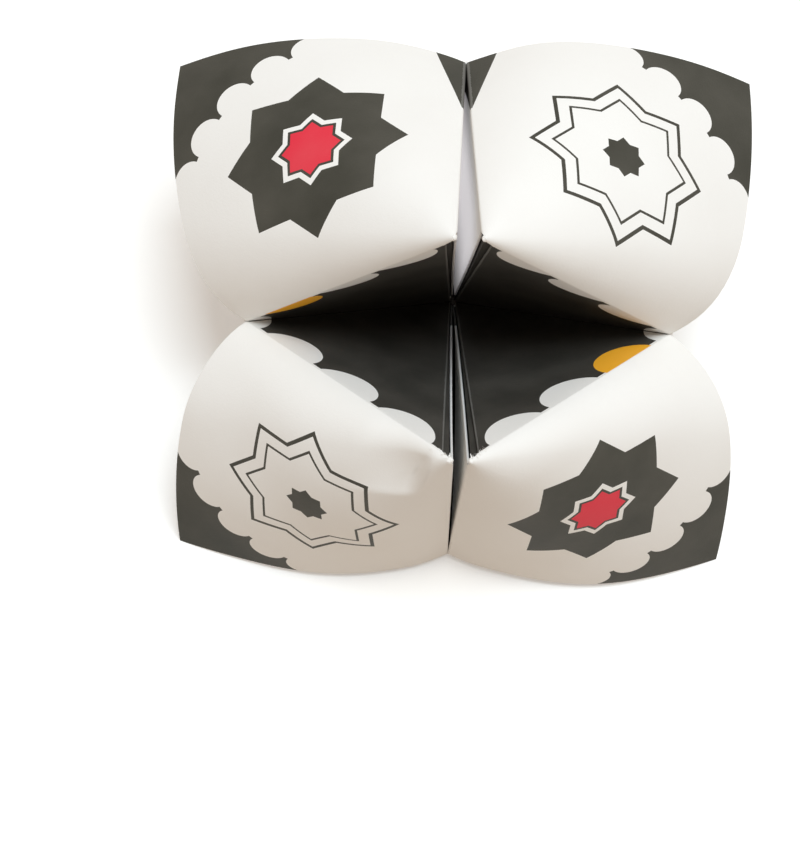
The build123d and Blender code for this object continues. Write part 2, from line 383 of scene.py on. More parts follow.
def stack_half(fold, curl, wall, index, ridge_cot, down):
    """All plies on one panel, from the front fold to the ridge.

    Each is a plane or part of a round about a line, given by ways along, inward and to the
    pocket, by its printed side's direction, and by its flat place. The panel bows by 27 times
    the product of a place's shares of its three corners: 0 on its sides and 1 in its middle.
    """
    leg, sizes, paper = fold.leg, fold.sizes, fold.sizes.paper
    outer_radius = fold.offset - paper / 2
    edge_radius = (paper + sizes.leaf_gap) / 2
    inner_radius = (sizes.ply_gap + paper - sizes.leaf_gap) / 2
    under_height = paper / 2 + 2 * edge_radius
    base_height = 2.5 * paper + sizes.ply_gap
    setback = sizes.setback_at_tip / sqrt(2)
    heart_setback = sizes.setback_at_heart / sqrt(2)
    rate = (leg - heart_setback + setback) / (leg + heart_setback - setback)
    flap_start = setback + setback / rate
    base_start = sqrt(2) * base_height * ridge_cot
    run = leg - curl.side
    flap_end = leg - sizes.slit_width / 2
    strips = []
    outer, top, edge, under, inner = (grid(shares(count), down) for count in STRIP_COLUMNS[:-1])

    def flap_reach(way):
        return np.maximum(rate * (way - setback) - setback, 0)

    def rows_between(starts, ends, row):
        return starts + (ends - starts) * row

    def add_strip(place, facing, flat):
        strips.append(np.stack(np.broadcast_arrays(*place, *facing, *flat)))

    _, outward = curl.surface(np.array(index * pi / 2), np.array(1.0))
    last_angle = atan2(-outward @ wall.inward, -outward @ wall.pocket)
    share, row = outer
    angle = last_angle * (1 - share)
    way = rows_between(run + (flap_start - run) * share, leg - (leg - flap_end) * share, row)
    add_strip(
        (way, -outer_radius * np.sin(angle), fold.offset - outer_radius * np.cos(angle)),
        (0, -np.sin(angle), -np.cos(angle)),
        ((1 - share) * row + share * way / leg, 0),
    )

    share, row = top
    way = rows_between(flap_start, flap_end, row)
    add_strip(
        (way, share * flap_reach(way), paper / 2), (0, 0, -1), (way / leg, -share * way / leg)
    )

    share, row = edge
    angle = pi * share
    way = rows_between(flap_start, flap_end + (leg - flap_end) * share, row)
    bulge = np.sin(angle) * edge_radius / sqrt(2)
    add_strip(
        (way - bulge, flap_reach(way) + bulge, paper / 2 + (1 - np.cos(angle)) * edge_radius),
        (-np.sin(angle) / sqrt(2), np.sin(angle) / sqrt(2), -np.cos(angle)),
        (way / leg, -way / leg),
    )

    share, row = under
    way = rows_between(flap_start, leg, row)
    add_strip(
        (way, (1 - share) * flap_reach(way), under_height),
        (0, 0, 1),
        ((1 - share) * way / leg, -way / leg),
    )

    share, row = inner
    angle = pi * share
    way = rows_between(flap_start + (base_start - flap_start) * share, leg, row)
    add_strip(
        (way, -inner_radius * np.sin(angle), base_height - (1 + np.cos(angle)) * inner_radius),
        (0, np.sin(angle), np.cos(angle)),
        (0, -way / leg),
    )

    share, row = grid(np.linspace(0, 1, STRIP_COLUMNS[-1] + 1), down)
    way = rows_between(base_start, leg, row)
    add_strip(
        (way, share * (way - base_start), base_height), (0, 0, -1), (-share * way / leg, -way / leg)
    )

    parts = np.concatenate(strips, 1)
    way, inward = parts[:2] / leg
    parts[2] += sizes.panel_bow * 27 * np.maximum((1 - way) * (way - inward) * inward, 0)
    return parts


class Shell:
    """A surface gathered from grids of points that share their borders.

    A point is eight numbers: its place, its printed side's direction and its flat place.
    """

    def __init__(self):
        self.points = np.empty((0, 8))
        self.quads = np.empty((0, 4), int)

    def add_points(self, points):
        """Stores the points of a grid and returns their numbers in the grid's shape."""
        numbers = len(self.points) + np.arange(points[..., 0].size).reshape(points.shape[:-1])
        self.points = np.concatenate([self.points, points.reshape(-1, 8)])
        return numbers

    def add_quads(self, numbers):
        """Quads between neighbours in a grid of point numbers, turned to the printed side."""
        quads = grid_quads(numbers)
        a, b, c, d = (self.points[quads[:, corner], :3] for corner in range(4))
        if (np.cross(c - a, d - b) * self.points[quads[:, 0], 3:6]).sum() < 0:
            quads = quads[:, ::-1]
        self.quads = np.concatenate([self.quads, quads])


def fold_middle_surface(fold):
    """The sheet's middle surface: its points, their directions and flat places, and its quads.

    It is a ring of columns round each tip, and the four creases between the quarters. A ring runs
    from the petal's middle line over one side's plies to the ridge, and back over the other's.
    """
    shell = Shell()
    down = np.linspace(0, 1, ROWS) ** ROW_CROWDING
    ends = {}
    for name, (side, level, *hinges) in QUARTERS.items():
        pair = fold.walls[name]
        curl = fold.curls[name]
        into = [unit(wall.hinge - wall.tip / 2) for wall in pair]
        ridge_cot = 1 / tan(acos(into[0] @ into[1]) / 2)
        mitre = -(pair[0].pocket + pair[1].pocket) / (1 + pair[0].pocket @ pair[1].pocket)
        halves = []
        for index, wall in enumerate(pair):
            parts = stack_half(fold, curl, wall, index, ridge_cot, down)
            ends[name, hinges[index]] = [wall, parts[:6, UNDER_FIRST_COLUMN:, -1]]
            panel = [wall.place(parts[:3]), wall.direction(parts[3:6]), np.stack(parts[6:], -1)]
            half = [petal_half(fold, curl, index, down), np.concatenate(panel, -1)]
            halves.append(np.concatenate(half))
            halves[index][-1, :, 3:6] = mitre
        halves[1][..., 6:] = halves[1][..., [7, 6]]
        ring = np.concatenate([halves[1], halves[0][1:-1][::-1]])
        ring[..., 6:] = (ring[..., 6:] + 1) * (side, level)
        numbers = shell.add_points(ring)
        numbers = np.concatenate([numbers, numbers[:1]])
        shell.add_quads(numbers)
        for hinge, outward in zip(hinges, (numbers[::-1], numbers)):
            plies = outward[PETAL_COLUMNS:, -1]
            ends[name, hinge].append(plies[UNDER_FIRST_COLUMN:END_COLUMN])
    for hinge, (a, b, _) in HINGES.items():
        add_crease(shell, fold.hinges[hinge], ends[a, hinge], ends[b, hinge])
    return *np.split(shell.points, (3, 6), 1), shell.quads


def add_crease(shell, hinge, end_a, end_b):
    """Turns the under and base plies of one quarter about the hinge line into the next one's.

    A column keeps its way inward and its distance from the line, and the direction away from
    the line turns evenly from one panel's pocket side to the other's.
    """
    wall_a, parts_a, numbers_a = end_a
    wall_b, parts_b, numbers_b = end_b
    middle = unit(wall_a.along + wall_b.along)
    sideways = unit(wall_b.pocket - middle * (middle @ wall_b.pocket))
    reach = acos(middle @ wall_b.pocket)
    share, _ = grid(np.linspace(0, 1, CREASE_STEPS + 1)[1:-1], numbers_a)
    angle = reach * (2 * share - 1)
    away = np.cos(angle)[..., None] * middle + np.sin(angle)[..., None] * sideways

    def mixed(a, b):
        return ((1 - share) * a + share * b)[..., None]

    columns = [
        mixed(parts_a[at + 1], parts_b[at + 1]) * wall_a.inward
        + mixed(parts_a[at + 2], parts_b[at + 2]) * away
        for at in (0, 3)
    ]
    columns[0] += hinge
    flats_a, flats_b = (shell.points[numbers, 6:].T for numbers in (numbers_a, numbers_b))
    columns += [mixed(a, b) for a, b in zip(flats_a, flats_b)]
    numbers = shell.add_points(np.concatenate(columns, -1))
    shell.add_quads(np.concatenate([numbers_a[None], numbers, numbers_b[None]]))


def added(name, data):
    """A new object of the scene."""
    made = bpy.data.objects.new(name, data)
    bpy.context.scene.collection.objects.link(made)
    return made


WELD_REACH = 1e-6
SHARP_ANGLE = radians(50)


def main_object(name, points, faces, flats, material_numbers, materials):
    """A smooth welded mesh object with the flat sheet as its UV map, sharp only at raw edges."""
    mesh = bpy.data.meshes.new(name)
    mesh.from_pydata(points.tolist(), [], faces.tolist())
    layer = mesh.uv_layers.new(name=SHEET_MAP)
    corners = np.empty(len(mesh.loops), np.int32)
    mesh.loops.foreach_get("vertex_index", corners)
    layer.data.foreach_set("uv", ((flats[corners] + 2) / 4).astype(np.float32).ravel())
    for material in materials:
        mesh.materials.append(material)
    mesh.polygons.foreach_set("material_index", material_numbers.astype(np.int32))
    welded = bmesh.new()
    welded.from_mesh(mesh)
    bmesh.ops.remove_doubles(welded, verts=welded.verts, dist=WELD_REACH)
    welded.to_mesh(mesh)
    welded.free()
    mesh.shade_smooth()
    mesh.set_sharp_from_angle(angle=SHARP_ANGLE)
    mesh.update()
    return added(name, mesh)


# How much wider than the stack of plies the solid's ball at the heart is
HEART_MARGIN = 0.0001


def laid_down(fold, points, normals, flats):
    """The turn and shift that lay the sheet on its heart and its two lower free corners.

    The table's normal is square to the line between the corners, tilted so that the heart's
    small ball and both corners touch it.
    """
    outer = points + normals * fold.sizes.paper / 2
    left, right = (
        outer[np.abs(flats - 2 * np.array([side, -1])).sum(-1).argmin()] for side in (-1, 1)
    )
    beside = unit(right - left)
    toward = left - beside * (left @ beside)
    sink = (fold.stack + HEART_MARGIN) / np.linalg.norm(toward)
    level = np.cross(unit(toward), beside)
    level = level * np.sign(level[2])
    up = level * sqrt(1 - sink**2) - unit(toward) * sink
    turn = np.stack([beside, np.cross(up, beside), up])
    lying = outer @ turn.T
    low, high = lying.min(0), lying.max(0)
    cad_low, cad_high = (np.array(corner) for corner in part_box(NODE))
    shift = (cad_low + cad_high) / 2 - (low + high) / 2
    shift[2] = cad_low[2] - low[2]
    return turn, shift


def soft_step(low, high, values):
    """A smooth rise from 0 at low to 1 at high."""
    share = np.clip((values - low) / (high - low), 0, 1)
    return share * share * (3 - 2 * share)


# The waves: radians for a leg of the first and the second way, share of the quarter's phase, and
# height. The phase is a sum over the right and the upper quarters.
WAVES = ((4.1, 2.3, 1.0, 1.0), (-3.1, 6.3, 2.1, 0.6), (10.7, 8.9, 3.3, 0.35))
WAVE_PHASES = (1.7, 2.9)
WAVE_FADE = 0.22

# The dent, in legs from the lower left tip: where its side and low creases meet, the way square
# to the side crease, the low crease's slope, the width of the steep side, and between which ways
# it fades on the other side
DENT_CORNER = (0.096, 0.221)
DENT_SIDEWAYS = (0.971, -0.238)
DENT_SLOPE, DENT_RIM = 0.27, 0.035
DENT_FADE = (0.08, 0.25)


def relaxed(wear, points, normals, flats):
    """The paper with slow waves in the petals and a dent by the lower left tip.

    Both move a point along its normal. The waves are sines of the flat place that fade at the
    folds. The dent lies between the fold by the mouth and the low crease: at a share of the way
    between them its depth is 4 * share * (1 - share).
    """
    away = np.abs(flats) - 1
    first, second = away.T
    phase = (flats > 0) @ WAVE_PHASES
    wave = sum(
        height * np.sin(a * first + b * second + c * phase) for a, b, c, height in WAVES
    )
    lift = wear.wave_height * wave * soft_step(0.0, WAVE_FADE, away.min(1))
    from_corner = away - DENT_CORNER
    beside = from_corner @ DENT_SIDEWAYS
    low_crease = DENT_CORNER[1] + DENT_SLOPE * from_corner[:, 0]
    share = np.clip(second / low_crease, 0, 1)
    hollow = 4 * share * (1 - share) * np.clip(beside / DENT_RIM, 0, 1)
    hollow = hollow * (1 - soft_step(*DENT_FADE, beside)) * (flats < 0).all(1) * (first > 0)
    return points + normals * (lift - wear.dent_depth * hollow)[:, None]


def ball(steps):
    """Unit directions over a ball, and the quads between them, from six grids on a cube's faces."""
    ticks = np.tan(np.linspace(-pi / 4, pi / 4, steps + 1))
    across, up = grid(ticks, ticks)
    square = grid_quads(np.arange(across.size).reshape(across.shape))
    points = []
    quads = []
    for axis in range(3):
        for side in (-1, 1):
            quads.append(square[:, ::side] + len(points) * across.size)
            face = np.stack([side + 0 * across, across, up], -1)
            points.append(np.roll(face, axis, -1).reshape(-1, 3))
    merged, back = np.unique(np.concatenate(points).round(6), axis=0, return_inverse=True)
    return unit(merged), back.ravel()[np.concatenate(quads)]


# The knots: steps across a face of a ball, shares of its radius that are even and that swell, the
# radians of the two sines over the direction's x, y and z and their phase from ball to ball, the
# heart's place and radius in stacks of plies, and up to which share of its height it is plain
KNOT_STEPS = 10
KNOT_EVEN, KNOT_SWELL = 0.97, 0.1
KNOT_WAVES = ((5.3, 3.1, 0.0), (0.0, -2.3, 4.7))
KNOT_PHASE = 1.7
HEART_RISE, HEART_RADIUS, HEART_PLAIN = 0.25, 1.2, 0.1


def crumpled_knots(fold):
    """Small closed balls of crumpled plies at the heart and the four tips.

    Returns points, quads, flat places, and 1 for each quad that looks plain, at the heart's back.
    A ball's radius swells and sinks by a product of two sines of the direction.
    """
    directions, quads = ball(KNOT_STEPS)
    heart = np.array([0, 0, HEART_RISE * fold.stack])
    knots = [(heart, HEART_RADIUS * fold.stack, (0.0, 0.0))]
    for name, (side, level, _, _) in QUARTERS.items():
        knots.append((fold.curls[name].apex, fold.offset, (float(side), float(level))))
    centres, radii, flats = (np.array(column) for column in zip(*knots))
    phase = np.arange(len(knots))[:, None] * KNOT_PHASE
    first, second = KNOT_WAVES @ directions.T
    swell = np.sin(first + phase) * np.sin(second + 2 * phase)
    reach = radii[:, None] * (KNOT_EVEN + KNOT_SWELL * swell)
    points = centres[:, None] + reach[..., None] * directions
    numbers = np.arange(len(knots))[:, None, None] * len(directions) + quads
    plain = np.zeros(numbers.shape[:2], int)
    plain[0] = directions[quads].mean(1)[:, 2] < HEART_PLAIN
    flats = np.repeat(flats, len(directions), 0)
    return points.reshape(-1, 3), numbers.reshape(-1, 4), flats, plain.ravel()


# The torn fibres: the points on a path, how much a fibre tapers, its thickness as a share of its
# width and the least one, and what the draws hang on, with all lengths in metres. A fibre starts
# at a share of the fold's outer radius and aims outward and back past the tip.
FIBRE_POINTS, FIBRE_TAPER = 6, 0.85
FIBRE_FLATNESS, FIBRE_LEAST = 0.3, 0.000008
FRAY_SEED = 11
FRAY_REACH, FRAY_CROWDING = 0.0042, 1.8
FRAY_TURNS = (-0.5, 1.6)
FRAY_DEPTH, FRAY_OUTWARD, FRAY_BACK = 0.8, 0.7, 0.5
FRAY_SCATTER, FRAY_BEND = 0.55, 0.6
FRAY_LENGTHS = (0.00015, 0.0005)
FRAY_WIDTHS = (0.00006, 0.00022)


def slivers(starts, aims, bends, widths, thicknesses):
    """Closed flat slivers along bent paths, as points and quads.

    At share s along its path a sliver is at start + aim * s + bend * s * s, and its section is a
    rhombus that narrows as 1 - FIBRE_TAPER * s.
    """
    share = np.linspace(0, 1, FIBRE_POINTS)[None, :, None]
    path = starts[:, None] + aims[:, None] * share + bends[:, None] * share**2
    side = unit(np.cross(aims, bends))[:, None] * widths[:, None, None]
    flat = unit(np.cross(aims, side[:, 0]))[:, None] * thicknesses[:, None, None]
    taper = 1 - FIBRE_TAPER * share
    rings = np.stack([path + part * taper for part in (side, flat, -side, -flat)], 2)
    numbers = np.arange(rings[..., 0].size).reshape(rings.shape[:3])
    beside = np.roll(numbers, -1, 2)
    tube = np.stack(
        [numbers[:, :-1], beside[:, :-1], beside[:, 1:], numbers[:, 1:]], -1
    ).reshape(-1, 4)
    caps = np.concatenate([numbers[:, 0, ::-1], numbers[:, -1]])
    return rings.reshape(-1, 3), np.concatenate([tube, caps])


class SHEET_OT_fold(bpy.types.Operator):
    """Fold the printed sheet into the opened fortune teller"""

    bl_idname = "folded_paper.fold_sheet"
    bl_label = "Fold the sheet"

    def execute(self, context):
        fold = Fold(context.scene.fold_settings)
        points, normals, flats, quads = fold_middle_surface(fold)
        turn, shift = laid_down(fold, points, normals, flats)
        points = relaxed(context.scene.wear_settings, points, normals, flats) @ turn.T + shift
        thickness = normals @ turn.T * fold.sizes.paper / 2
        count = len(points)
        edges = np.stack([quads, np.roll(quads, -1, 1)], -1).reshape(-1, 2)
        keys = edges.min(1) * count + edges.max(1)
        _, firsts, repeats = np.unique(keys, return_index=True, return_counts=True)
        start, end = edges[firsts[repeats == 1]].T
        walls = np.stack([end, start, start + count, end + count], -1)
        knots, knot_quads, knot_flats, knot_numbers = crumpled_knots(fold)
        sides = np.repeat([0, 1, 2], [len(quads), len(quads), len(walls)])
        settings = context.scene.print_settings
        piece = main_object(
            "folded_sheet",
            np.concatenate([points + thickness, points - thickness, knots @ turn.T + shift]),
            np.concatenate([quads, quads[:, ::-1] + count, walls, knot_quads + 2 * count]),
            np.concatenate([flats, flats, knot_flats]),
            np.concatenate([sides, knot_numbers]),
            [printed_paper_and_painted_light(settings), plain_paper_and_painted_shade(settings), cut_edge(settings)],
        )
        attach(piece, "root")
        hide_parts(NODE)
        return {"FINISHED"}


class SHEET_OT_fray(bpy.types.Operator):
    """Tear loose fibres from the two worn lower tips"""

    bl_idname = "folded_paper.fray_tips"
    bl_label = "Fray the tips"

    def execute(self, context):
        fold = Fold(context.scene.fold_settings)
        points, normals, flats, _ = fold_middle_surface(fold)
        turn, shift = laid_down(fold, points, normals, flats)
        count = context.scene.wear_settings.fray_count
        random = np.random.default_rng(FRAY_SEED)
        starts = []
        aims = []
        for name in ("lower_left", "lower_right"):
            wall = fold.walls[name][0]
            away = random.uniform(0, 1, (count, 1)) ** FRAY_CROWDING
            turns = random.uniform(*FRAY_TURNS, (count, 1))
            outward = -wall.pocket * np.cos(turns) - wall.inward * np.sin(turns)
            root = fold.curls[name].apex + wall.along * away * FRAY_REACH
            starts.append(root + outward * fold.offset * FRAY_DEPTH)
            scatter = random.normal(0, FRAY_SCATTER, (count, 3))
            aims.append(outward * FRAY_OUTWARD + scatter - wall.along * FRAY_BACK)
        starts = np.concatenate(starts)
        total = len(starts)
        lengths = random.uniform(*FRAY_LENGTHS, (total, 1))
        aims = unit(np.concatenate(aims)) * lengths
        bends = random.normal(0, FRAY_BEND, (total, 3)) * lengths
        widths = random.uniform(*FRAY_WIDTHS, total)
        thicknesses = widths * FIBRE_FLATNESS + FIBRE_LEAST
        fibres, quads = slivers(starts, aims, bends, widths, thicknesses)
        mesh = bpy.data.meshes.new("frayed_fibres")
        mesh.from_pydata((fibres @ turn.T + shift).tolist(), [], quads.tolist())
        mesh.materials.append(torn_paper(context.scene.print_settings))
        piece = added("frayed_fibres", mesh)
        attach(piece, "root")
        return {"FINISHED"}


def feed(node, inputs):
    """Links or sets inputs of a node: a term is a Value, a socket, or one or three numbers."""
    for name, term in inputs.items():
        socket = node.inputs[name]
        source = term.source if isinstance(term, Value) else term
        if isinstance(source, bpy.types.NodeSocket):
            node.id_data.links.new(source, socket)
        elif socket.type == "RGBA":
            socket.default_value = (*source, 1.0)
        else:
            socket.default_value = source


def outputs_of(node):
    """The outputs of a node by name, as Values."""
    return {socket.name: Value(socket) for socket in node.outputs}


def math_method(operation):
    """A method of Value that adds a Math node."""

    def method(self, *others):
        node = self.tree.nodes.new("ShaderNodeMath")
        node.operation = operation
        feed(node, dict(enumerate((self, *others))))
        return Value(node.outputs[0])

    return method


class Value:
    """An output inside a node tree, so that a formula can be written as plain arithmetic.

    Of two masks, the product holds where both do, and most where either does. A value is wrapped
    round between a high and a low limit, and aimed is the angle of a height over a way.
    """

    __add__ = math_method("ADD")
    __sub__ = math_method("SUBTRACT")
    __mul__ = math_method("MULTIPLY")
    __abs__ = math_method("ABSOLUTE")
    __gt__ = math_method("GREATER_THAN")
    __lt__ = math_method("LESS_THAN")
    least = math_method("MINIMUM")
    most = math_method("MAXIMUM")
    root = math_method("SQRT")
    aimed = math_method("ARCTAN2")
    wrapped = math_method("WRAP")

    def __init__(self, source):
        self.tree = source.id_data
        self.source = source

    def opposite(self):
        """One less the value."""
        return (self * -1) + 1

    def ramp(self, low, high):
        """A smooth rise from 0 at low to 1 at high."""
        node = self.tree.nodes.new("ShaderNodeMapRange")
        node.interpolation_type = "SMOOTHSTEP"
        feed(node, {"Value": self, "From Min": low, "From Max": high})
        return Value(node.outputs["Result"])


def noise(vector, scale, detail, roughness=0.5):
    """Cloudy noise between 0 and 1."""
    node = vector.tree.nodes.new("ShaderNodeTexNoise")
    feed(node, {"Vector": vector, "Scale": scale, "Detail": detail, "Roughness": roughness})
    return Value(node.outputs["Fac"])


def mix_colour(share, below, above):
    """One colour over another, by a share. Inputs 6 and 7 are the Mix node's colours."""
    node = share.tree.nodes.new("ShaderNodeMix")
    node.data_type = "RGBA"
    feed(node, {"Factor": share, 6: below, 7: above})
    return Value(node.outputs[2])


def new_group(name, inputs, outputs):
    """An empty node group, its inputs by name and its output node."""
    tree = bpy.data.node_groups.new(name, "ShaderNodeTree")
    for in_out, sockets in (("INPUT", inputs), ("OUTPUT", outputs)):
        for socket, kind in sockets.items():
            tree.interface.new_socket(name=socket, in_out=in_out, socket_type="NodeSocket" + kind)
    given = outputs_of(tree.nodes.new("NodeGroupInput"))
    return tree, given, tree.nodes.new("NodeGroupOutput")


def placed(tree, group, inputs):
    """The outputs of a group placed in a material, by name."""
    node = tree.nodes.new("ShaderNodeGroup")
    node.node_tree = group
    feed(node, inputs)
    return outputs_of(node)


def flat_place(vector):
    """Ways from the tip in legs on the flat sheet, across and up, and masks for left and upper."""
    split = vector.tree.nodes.new("ShaderNodeSeparateXYZ")
    feed(split, {0: vector})
    across, up = (Value(split.outputs[axis]) * 4 - 2 for axis in ("X", "Y"))
    return abs(across) - 1, abs(up) - 1, across < 0, up > 0


# The print and the painted shade in the lower seam slot and by the ridge, in legs from a quarter's
# tip on the flat sheet. A pair is the place of a line in a star and half its width, or where the
# yellow lobe starts and ends.
STAR_MIDDLE = 0.47
SOLID_STAR, RED_STAR, SMALL_STAR = 0.31, 0.1, 0.075
LINES = ((0.125, 0.012), (0.3, 0.009), (0.235, 0.006))
BORDER, BORDER_START = 1.07, 0.49
SCALLOP_ANGLE, SCALLOP_RADIUS = pi / 22, 0.067823
NOTCH_HEIGHT, NOTCH_SLOPE = 0.3, 3
LOBE_START, LOBE_PITCH, LOBE_RADIUS = 0.08, 0.28, 0.12
YELLOW_LOBE = (0.64, 0.92)
# Where the painted shade in the lower seam slot starts, and where the black at the heart starts
PAINTED_SLOT_SHADE_START, HEART_START = 0.84, 0.93
# Half the width of the black by the ridge: print carried over the fold, which also paints the shade
# in the gap beside it
RIDGE_INK_AND_SHADE_WIDTH = 0.12
FOLD_MARGIN, EDGE_MARGIN = 0.01, 0.02


def print_and_painted_shade_group(settings):
    """The star and scallop pattern on the printed side, with painted shade in the lower seam slot
    and by the ridge, as one colour, and a mask of all ink and that shade.

    On a petal both ways are positive. On a flap one is negative and their sum is positive. The
    base and under plies hold the rest. A star is two squares of one size, one of them on its
    corner, so it holds where the lesser of sqrt(2) * max(|x|, |y|) and |x| + |y| is small.
    """
    if "star_print_and_painted_shade" in bpy.data.node_groups:
        return bpy.data.node_groups["star_print_and_painted_shade"]
    tree, given, end = new_group(
        "star_print_and_painted_shade",
        {"Place": "Vector"},
        {"Colour": "Color", "Ink": "Float"},
    )
    first, second, left, upper = flat_place(given["Place"])
    onward = first + second
    on_petal = (first > 0) * (second > 0)
    on_flap = (first * second < 0) * (onward > -EDGE_MARGIN)
    bold = abs(left - upper) < 0.5

    reach = (first * first + second * second).root()
    turn = second.aimed(first).wrapped(SCALLOP_ANGLE, 0.0) - SCALLOP_ANGLE / 2
    round_arc = turn * BORDER
    beyond = reach - BORDER
    scallop = (round_arc * round_arc + beyond * beyond) < SCALLOP_RADIUS**2
    corner = (reach > BORDER) * (first.least(second) > BORDER_START) * scallop.opposite()
    x = abs(first - STAR_MIDDLE)
    y = abs(second - STAR_MIDDLE)
    star = (x.most(y) * sqrt(2)).least(x + y)
    ring, *outlines = (abs(star - at) < half for at, half in LINES)
    solid_star = (star < SOLID_STAR) * ring.opposite() * bold
    thin_star = outlines[0].most(outlines[1]).most(star < SMALL_STAR) * bold.opposite()
    notch = (abs(first) * NOTCH_SLOPE + abs(second - 1) < NOTCH_HEIGHT) * upper * (onward > 0)
    petal_ink = on_petal * corner.most(solid_star).most(thin_star)
    petal_red = on_petal * bold * (star < RED_STAR)

    way = first.most(second)
    depth = first.least(second) * -1
    side_flap = on_flap * (first > 0)
    along = abs((way - LOBE_START).wrapped(LOBE_PITCH, 0.0) - LOBE_PITCH / 2)
    lobe = (along * along + depth * depth) < LOBE_RADIUS**2
    bright = side_flap * lobe * (way > YELLOW_LOBE[0]) * (way < YELLOW_LOBE[1]) * bold
    # Black on the base and under plies by the ridge: print carried over the fold, and painted shade
    # in the gap between flap edge and ridge
    ridge_ink_and_painted_shade = (onward < 0) * (abs(first - second) < RIDGE_INK_AND_SHADE_WIDTH)
    field = side_flap * (depth > FOLD_MARGIN) * lobe.opposite()
    # Painted shade: black on the lower seam flaps by their raw edges, where the slot between them
    # is in shade
    painted_slot_shade = on_flap * (second > PAINTED_SLOT_SHADE_START) * (first < 0) * upper.opposite()
    heart = depth > HEART_START
    # Black ink, and the painted shade in the lower seam slot and by the ridge
    dark = ridge_ink_and_painted_shade.most(field).most(painted_slot_shade).most(heart)
    ink = petal_ink.most(notch)

    colour_now = settings.paper_colour
    for share, name in ((ink, "charcoal"), (dark, "black"), (petal_red, "red"), (bright, "yellow")):
        colour_now = mix_colour(share, colour_now, getattr(settings, name))
    ink_and_painted_shade = ink.most(dark).most(petal_red).most(bright)
    feed(end, {"Colour": colour_now, "Ink": ink_and_painted_shade})
    return tree


# The painted glow in a seam flap, emission for light bounced into the seam: how strong it is,
# its least share, and between which ways from the fold, in legs, it rises and falls again
GLOW_COLOUR = linear("f0f0fa")
GLOW_STRENGTH, GLOW_LEAST = 0.29, 0.15
GLOW_RISE, GLOW_FALL = (0.0, 0.35), (0.45, 0.95)


def painted_seam_glow(vector, ink):
    """Painted light: the upper right seam flap glows, most in its middle, for light bounced into
    the seam and through its thin paper.
    """
    first, second, left, upper = flat_place(vector)
    in_seam = (second > 0) * (first < 0) * (first + second > 0)
    depth = first * -1
    middle = depth.ramp(*GLOW_RISE) * depth.ramp(*GLOW_FALL).opposite()
    middle = middle * (1 - GLOW_LEAST) + GLOW_LEAST
    share = in_seam * middle * upper * left.opposite() * ink.opposite()
    return mix_colour(share, (0.0, 0.0, 0.0), GLOW_COLOUR)


# Where the ink is gone, in legs: half the width of the line along a fold and how bare it is, the
# bare paper's reach from a tip, how much further it is at the lower tips, and its width beside a
# fold. The fibres fray each.
LINE_WIDTH, LINE_FRAY = 0.0095, 0.012
LINE_BARE = 0.12
TIP_REACH, TIP_FRAY = 0.075, 0.09
LOWER_TIP_REACH = 0.035
TIP_WIDTH, TIP_WIDTH_FRAY = 0.045, 0.05


def fold_wear(vector, fibres):
    """How bare the paper is where ink has cracked off, faintly at folds and fully at tips."""
    first, second, _, upper = flat_place(vector)
    from_front = abs(first).least(abs(second))
    from_edge = abs(first + second)
    from_tip = abs(first).most(abs(second))
    line = (from_front.least(from_edge) + fibres * LINE_FRAY < LINE_WIDTH) * LINE_BARE
    tip = from_tip + fibres * TIP_FRAY < upper.opposite() * LOWER_TIP_REACH + TIP_REACH
    return line.most(tip * (from_front + fibres * TIP_WIDTH_FRAY < TIP_WIDTH))


# The grain: scale, detail and roughness of the noises of its clouds, its fine and broad relief and
# its fibres, the fine one's share of the relief, and the relief's depth in metres
GRAIN_NOISES = ((90, 3), (2600, 4, 0.65), (420, 3), (1500, 5, 0.7))
GRAIN_FINE = 0.6
GRAIN_DEPTH = 0.0001


def grain_group():
    """Fibres and faint clouds of the paper: a share of clouds, a height and a share of fibres."""
    if "paper_grain" in bpy.data.node_groups:
        return bpy.data.node_groups["paper_grain"]
    tree, given, end = new_group(
        "paper_grain",
        {"Place": "Vector"},
        {"Clouds": "Float", "Height": "Float", "Fibres": "Float"},
    )
    clouds, fine, broad, fibres = (noise(given["Place"], *terms) for terms in GRAIN_NOISES)
    height = fine * GRAIN_FINE + broad * (1 - GRAIN_FINE)
    feed(end, {"Clouds": clouds, "Height": height, "Fibres": fibres})
    return tree


TINT_COLOUR = linear("cfc6ba")


def tint_group():
    """A colour made unevenly darker and warmer by the paper's clouds or fibres."""
    if "paper_tint" in bpy.data.node_groups:
        return bpy.data.node_groups["paper_tint"]
    tree, given, end = new_group(
        "paper_tint",
        {"Colour": "Color", "Clouds": "Float", "Strength": "Float"},
        {"Colour": "Color"},
    )
    share = given["Clouds"] * given["Strength"]
    feed(end, {"Colour": mix_colour(share, given["Colour"], TINT_COLOUR)})
    return tree


def tinted(colour_now, clouds, strength):
    """The tint group in one material, over a colour."""
    inputs = {"Colour": colour_now, "Clouds": clouds, "Strength": strength}
    return placed(clouds.tree, tint_group(), inputs)["Colour"]


def paper_base(name):
    """A material with its shader, its paper's grain and its flat sheet map."""
    material = bpy.data.materials.new(name)
    material.use_nodes = True
    tree = material.node_tree
    place = tree.nodes.new("ShaderNodeTexCoord").outputs["Object"]
    flat = tree.nodes.new("ShaderNodeUVMap")
    flat.uv_map = SHEET_MAP
    grain = placed(tree, grain_group(), {"Place": place})
    return material, tree.nodes["Principled BSDF"], grain, Value(flat.outputs["UV"])


def grain_normal(height):
    """The normal of paper with its grain."""
    bump = height.tree.nodes.new("ShaderNodeBump")
    feed(bump, {"Distance": GRAIN_DEPTH, "Strength": 0.6, "Height": height})
    return bump.outputs["Normal"]


